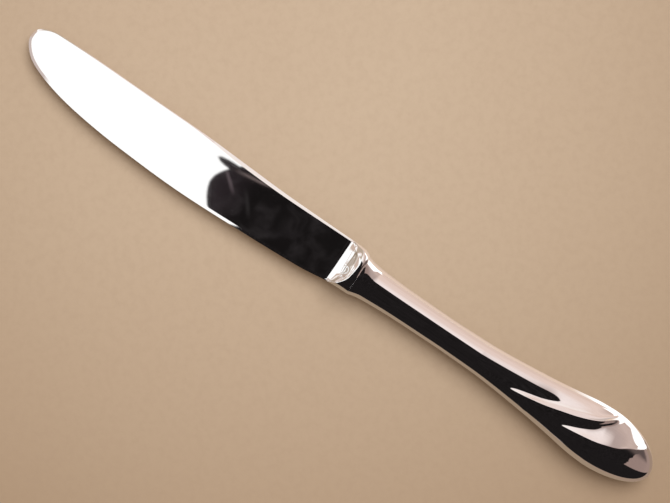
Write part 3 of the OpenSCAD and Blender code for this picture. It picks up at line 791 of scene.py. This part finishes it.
# Two thin bands in the white, each between slanting lines: one far out, and one in the middle
BAND = (0.66, 0.56, 0.48)
FAR_BAND_X, FAR_BAND_FOOT_EDGE, FAR_BAND_TOP_EDGE = (-4.3, -3.9), (-0.02, 0.04), (-0.02, 0.04)
FAR_BAND_FOOT_SLOPE, FAR_BAND_STEEP_SLOPE, FAR_BAND_STEEP_LIFT, FAR_BAND_TOP_SLOPE = 0.042, 0.08, 0.33, -0.01
MID_BAND_FAR_X, MID_BAND_NEAR_X = (-5.4, -5.0), (-2.0, -1.8)
MID_BAND_FOOT_SLOPE, MID_BAND_FOOT_EDGE = 0.137, (-0.02, 0.03)
MID_BAND_TOP_SLOPE, MID_BAND_TOP_EDGE = 0.075, (-0.03, 0.02)
# A band low on the cutting side, whose top steps up as it goes out
LOW_BAND, LOW_BAND_NEAR_X, LOW_BAND_FAR_X = (0.74, 0.62, 0.58), (-0.46, -0.41), (-1.8, -1.5)
LOW_BAND_STEP_X, LOW_BAND_TOPS, LOW_BAND_EDGE = (-1.38, -1.28), (-0.04, -0.20), (-0.04, 0.0)


def pink_wedge(card):
    """Share of the pink wedge and its step."""
    foot = card.any_of(card.line(PINK_FOOT_SLOPE, card.x), PINK_FOOT_LEAST)
    above = card.rise(card.many("SUBTRACT", card.y, foot), PINK_FOOT_EDGE)
    below = card.fall(card.past(card.y, PINK_TOP_SLOPE, card.x), PINK_TOP_EDGE)
    step = card.all_of(card.fall(card.y, STEP_Y), card.fall(card.x, STEP_NEAR_X), card.rise(card.x, STEP_FAR_X))
    fading = card.ramp(card.x, PINK_FADE_X, PINK_FADES)
    return card.all_of(above, card.fall(card.x, PINK_X), fading, card.any_of(below, step))


def pink(card):
    """The wedge's own tone, deeper toward the spine side."""
    level = card.blend(card.fall(card.x, PINK_FAR_X), PINK_FAR, PINK_NEAR)
    return card.blend(card.rise(card.y, PINK_DEEP_Y), level, PINK_DEEP)


def beige_panel(card):
    """Share of the beige panel that the bolster mirrors."""
    under_slant = card.fall(card.past(card.y, BEIGE_SLANT, card.x), BEIGE_SLANT_EDGE)
    high = card.all_of(card.rise(card.y, BEIGE_HIGH_Y), under_slant)
    side = card.many("SUBTRACT", card.x, card.ramp(card.y, BEIGE_SIDE_Y, BEIGE_SIDE_X))
    low = card.all_of(card.rise(card.y, BEIGE_LOW_Y), card.fall(card.y, BEIGE_LOW_TOP_Y),
                      card.rise(side, BEIGE_SIDE_EDGE))
    return card.all_of(card.fall(card.x, BEIGE_X), card.any_of(high, low))


def far_band(card):
    """Share of the thin band far out."""
    foot = card.many("MINIMUM", card.line(FAR_BAND_FOOT_SLOPE, card.x),
                     card.line(FAR_BAND_STEEP_SLOPE, card.x, FAR_BAND_STEEP_LIFT))
    above = card.rise(card.many("SUBTRACT", card.y, foot), FAR_BAND_FOOT_EDGE)
    below = card.fall(card.past(card.y, FAR_BAND_TOP_SLOPE, card.x), FAR_BAND_TOP_EDGE)
    return card.all_of(card.fall(card.x, FAR_BAND_X), above, below)


def mid_band(card):
    """Share of the thin band in the middle."""
    above = card.rise(card.past(card.y, MID_BAND_FOOT_SLOPE, card.x), MID_BAND_FOOT_EDGE)
    below = card.fall(card.past(card.y, MID_BAND_TOP_SLOPE, card.x), MID_BAND_TOP_EDGE)
    return card.all_of(card.rise(card.x, MID_BAND_FAR_X), card.fall(card.x, MID_BAND_NEAR_X), below, above)


def low_band(card):
    """Share of the band low on the cutting side."""
    top = card.ramp(card.x, LOW_BAND_STEP_X, LOW_BAND_TOPS)
    below = card.fall(card.many("SUBTRACT", card.y, top), LOW_BAND_EDGE)
    return card.all_of(below, card.fall(card.x, LOW_BAND_NEAR_X), card.rise(card.x, LOW_BAND_FAR_X))


def tip_side(card, dark):
    """White, with the warm panels and bands that the blade and the bolster mirror."""
    white = card.blend(card.fall(card.y, WHITE_Y), WHITE, dark)
    white = card.blend(card.rise(card.y, WARM_WHITE_Y), white, WARM_WHITE)
    dimmed = card.all_of(card.rise(card.y, DIM_WHITE_Y), card.fall(card.x, DIM_WHITE_X))
    white = card.blend(dimmed, white, DIM_WHITE)
    white = card.blend(pink_wedge(card), white, pink(card))
    white = card.blend(beige_panel(card), white, BEIGE)
    white = card.blend(card.any_of(far_band(card), mid_band(card)), white, BAND)
    return card.blend(low_band(card), white, LOW_BAND)


# A dim, warm glow in the dark half, below the brim where that rises
GLOW, GLOW_Y, GLOW_X, GLOW_SHARE = (0.30, 0.22, 0.20), (0.10, 0.30), (0.32, 0.40), 0.4


def studio_card():
    """The studio as polished steel sees it. Straight above and toward the cutting side it is dark, with a
    rounded end. Toward the tip it is white, toward the spine it is pale, and past the handle it is a dim, warm
    grey."""
    card = CardPaint("studio_ceiling_paint")
    u = card.line(PIXELS_PER_METRE, card.x, MIDDLE_U)
    v = card.line(-PIXELS_PER_METRE, card.y, MIDDLE_V)
    dark = dark_half(card, u, v)
    glow_share = card.ramp(card.x, GLOW_X, (0, GLOW_SHARE))
    tone = card.blend(card.ramp(card.y, GLOW_Y, (0, glow_share)), dark, GLOW)
    tone = card.blend(over_the_brim(card), tone, spine_side(card))
    tone = card.blend(past_the_handle(card), tone, end_side(card))
    tone = card.blend(handle_half(card, u, v), tip_side(card, dark), tone)
    card.nodes.remove(card.shader)
    card.on_surface(card.glow(tone))
    return card.material


# The beige sheet, with painted light that falls off round a painted pool of light: its tone at the pool's
# centre and away from it, that centre, and where the painted falloff starts and stops changing
SHEET, SHEET_PAINTED_DIM, SHEET_PAINTED_LIGHT_AT = (0.525, 0.415, 0.308), (0.262, 0.170, 0.100), (-0.05, 0.06)
SHEET_PAINTED_DIM_EDGE, SHEET_PAINTED_DIM_STOP = (0.02, 0.30), 0.20
# Faint clouds and fibres in it, how far both cover, and the fibres' turn and depth
CLOUD, FIBRE, MOTTLE_SHARE = (0.42, 0.30, 0.21), (0.30, 0.21, 0.145), 0.12
FIBRE_TURN, FIBRE_DEPTH = 0.6, 2e-4
# Where the clouds and the fibres start to show and show in full
CLOUD_EDGE, FIBRE_EDGE = (0.35, 0.65), (0.35, 0.75)
# Painted reflection of the sheet, a glow that only glossy rays see: painted shade on the knife's shadow side,
# painted light on the window side, and a tone past the handle's end
SHADOW_SIDE, WINDOW_SIDE, WINDOW_SIDE_Y = (0.41, 0.305, 0.215), (0.97, 0.75, 0.60), (-0.006, 0.02)
PAST_END, PAST_END_X = (0.42, 0.30, 0.225), (0.117, 0.124)
# A painted white highlight beside the bulb, above a line that runs level and then slants one for one
BULB_PAINTED_HIGHLIGHT, BULB_LIT_X, BULB_LIT_EDGE = (1.5, 1.5, 1.5), (0.083, 0.095), (-0.002, 0.002)
BULB_LIT_LEVEL, BULB_LIT_SHIFT = 0.010, -0.096


def painted_sheet_reflection(sheet):
    """The painted reflection that steel sees in place of the sheet: painted shade, painted light and a painted
    highlight beside the bulb.
    """
    lit = sheet.blend(sheet.rise(sheet.y, WINDOW_SIDE_Y), SHADOW_SIDE, WINDOW_SIDE)
    lit = sheet.blend(sheet.rise(sheet.x, PAST_END_X), lit, PAST_END)
    foot = sheet.any_of(BULB_LIT_LEVEL, sheet.line(1.0, sheet.x, BULB_LIT_SHIFT))
    above = sheet.rise(sheet.many("SUBTRACT", sheet.y, foot), BULB_LIT_EDGE)
    return sheet.blend(sheet.all_of(sheet.rise(sheet.x, BULB_LIT_X), above), lit, BULB_PAINTED_HIGHLIGHT)


def beige_sheet():
    """The sheet that the knife lies on: pale beige, with painted light that falls off from a painted pool of
    light to a darker, browner tone. In place of the sheet, steel sees a painted reflection: a glow that is
    brighter toward the window and painted darker on the knife's shadow side."""
    sheet = CardPaint("beige_sheet")
    fibres = sheet.noise(scale=380.0, detail=5.0, rough=0.65, turn=FIBRE_TURN)
    clouds = sheet.noise(scale=9.0, detail=3.0, rough=0.5)
    # Painted light: the colour darkens and browns with distance from the painted pool's centre, up to a stop
    off_x, off_y = (sheet.line(1.0, here, -at) for here, at in zip((sheet.x, sheet.y), SHEET_PAINTED_LIGHT_AT))
    from_light_pool = sheet.many("MINIMUM", sheet.size(off_x, off_y), SHEET_PAINTED_DIM_STOP)
    colour = sheet.blend(sheet.rise(from_light_pool, SHEET_PAINTED_DIM_EDGE), SHEET, SHEET_PAINTED_DIM)
    colour = sheet.blend(sheet.ramp(clouds, CLOUD_EDGE, (0, MOTTLE_SHARE)), colour, CLOUD)
    colour = sheet.blend(sheet.ramp(fibres, FIBRE_EDGE, (0, MOTTLE_SHARE)), colour, FIBRE)
    sheet.on_shader(Base_Color=colour, Roughness=0.9, Specular_IOR_Level=0.2,
                    Normal=sheet.bump(fibres, strength=0.25, distance=FIBRE_DEPTH))
    # Glossy rays see the painted reflection glow instead of the sheet's own shader
    in_steel = sheet.node("ShaderNodeLightPath").outputs["Is Glossy Ray"]
    choice = sheet.node("ShaderNodeMixShader", {0: in_steel})
    sheet.links.new(sheet.shader.outputs[0], choice.inputs[1])
    sheet.links.new(sheet.glow(painted_sheet_reflection(sheet)), choice.inputs[2])
    sheet.on_surface(choice.outputs[0])
    return sheet.material


def flat_card(name, half, z, paint):
    """A level square of the studio, its middle at the knife's."""
    mesh = bpy.data.meshes.new(name)
    corners = [(-half, -half, z), (half, -half, z), (half, half, z), (-half, half, z)]
    mesh.from_pydata(corners, [], [(0, 1, 2, 3)])
    mesh.materials.append(paint)
    obj = bpy.data.objects.new(name, mesh)
    bpy.context.scene.collection.objects.link(obj)
    return obj


flat_card("floor", SHEET_HALF, SHEET_Z, beige_sheet())
ceiling = flat_card("studio_ceiling", CARD_HALF, CARD_Z, studio_card())
for ray in ("camera", "diffuse", "shadow", "transmission", "volume_scatter"):
    setattr(ceiling, "visible_" + ray, False)

# The room's own light
ROOM_TONE, ROOM_STRENGTH = (1.0, 0.84, 0.70), 0.42
# The window: how wide it looks from the knife and how it is tilted, in degrees, its strength and its place
WINDOW_WIDTH, WINDOW_TILT, WINDOW_STRENGTH, WINDOW_AT = 52, -28, 2.75, (0, 0.44, 0.95)
# The camera looks straight down: its place and its turn in degrees, and the width that it sees at a distance
CAMERA_AT, CAMERA_TURN = (-0.00173, 0.00185, 0.605), 33.90
SEEN_W, SEEN_AWAY = 0.2123, 0.600
# Its sensor in millimetres, and the nearest that it sees
SENSOR_W, CLIP_START = 36.0, 0.01


def room_light():
    """Even, warm light from all round."""
    world = bpy.data.worlds.new("studio")
    bpy.context.scene.world = world
    world.use_nodes = True
    background = world.node_tree.nodes["Background"]
    background.inputs["Color"].default_value = (*ROOM_TONE, 1)
    background.inputs["Strength"].default_value = ROOM_STRENGTH


def window_light():
    """The broad, soft light that gives the knife its shadow. Steel mirrors the card in its place."""
    data = bpy.data.lights.new("window_light", "SUN")
    data.angle = math.radians(WINDOW_WIDTH)
    data.energy = WINDOW_STRENGTH
    window = bpy.data.objects.new("window_light", data)
    bpy.context.scene.collection.objects.link(window)
    window.location = WINDOW_AT
    window.rotation_euler = (math.radians(WINDOW_TILT), 0, 0)
    window.visible_glossy = False
    window.visible_camera = False


def photo_camera():
    """The camera, turned so that the knife lies as in the photograph."""
    data = bpy.data.cameras.new("photo_camera")
    data.sensor_width = SENSOR_W
    data.lens = SENSOR_W * SEEN_AWAY / SEEN_W
    data.clip_start = CLIP_START
    camera = bpy.data.objects.new("photo_camera", data)
    bpy.context.scene.collection.objects.link(camera)
    bpy.context.scene.camera = camera
    camera.location = CAMERA_AT
    camera.rotation_euler = (0, 0, math.radians(CAMERA_TURN))


room_light()
window_light()
photo_camera()
bpy.context.scene.view_settings.view_transform = "Standard"
